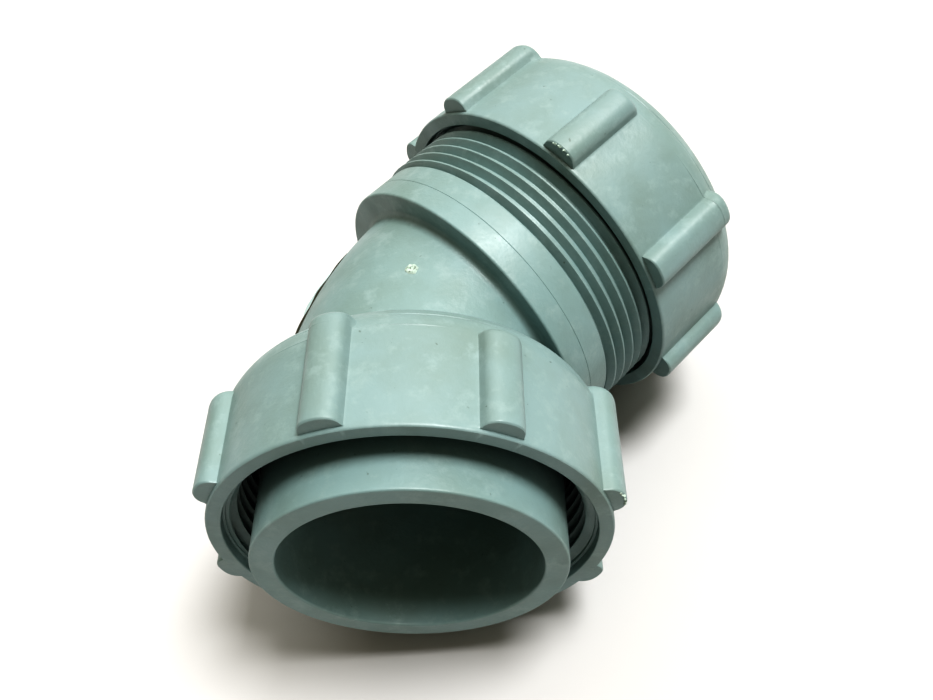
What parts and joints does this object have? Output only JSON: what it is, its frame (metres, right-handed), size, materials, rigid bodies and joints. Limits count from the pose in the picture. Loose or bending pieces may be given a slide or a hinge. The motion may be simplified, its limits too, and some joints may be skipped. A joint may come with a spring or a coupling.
{
  "type": "pvc elbow fitting",
  "caption": "A 45 degree pvc pipe elbow with a plain spigot and a threaded socket, each with a ribbed compression nut, friction washer and tapered seal.",
  "frame": {"origin": "centre of the spigot's mouth", "axes": "the spigot points along -Y, the socket leaves the bend at 45 degrees to +Y towards +X, and +Z is square to the plane of the bend"},
  "size_m": [0.0904, 0.0981, 0.067],
  "materials": {
    "pvc_body": "satin moulded pale grey-green pvc",
    "pvc_nut": "satin moulded pale grey-green pvc",
    "friction_washer": "matt natural polyethylene",
    "seal_rubber": "matt black moulded rubber"
  },
  "bodies": {
    "elbow": {"elbow_body": "pvc_body"},
    "spigot_gland": {"spigot_washer": "friction_washer", "spigot_seal": "seal_rubber"},
    "spigot_nut": {"spigot_nut": "pvc_nut"},
    "socket_gland": {"socket_washer": "friction_washer", "socket_seal": "seal_rubber"},
    "socket_nut": {"socket_nut": "pvc_nut"}
  },
  "joints": [
    {"name": "spigot_gland_slide", "type": "slide", "parent": "elbow", "child": "spigot_gland", "axis": [0, -1, 0], "range_m": [0, 0.0145]},
    {"name": "spigot_nut_turn", "type": "hinge", "parent": "spigot_gland", "child": "spigot_nut", "pos_m": [0, 0.0112, 0], "axis": [0, -1, 0], "continuous": true},
    {"name": "socket_nut_travel", "type": "slide", "parent": "elbow", "child": "socket_gland", "axis": [-0.7071, -0.7071, 0], "range_m": [-0.00241, 0.0076]},
    {"name": "socket_nut_turn", "type": "hinge", "parent": "socket_gland", "child": "socket_nut", "pos_m": [0.02475, 0.06595, 0], "axis": [-0.7071, -0.7071, 0], "range_deg": [-360, 1170]}
  ],
  "couplings": [
    {"joint": "socket_nut_travel", "follows": "socket_nut_turn", "m_per_rad": 0.0003675}
  ]
}
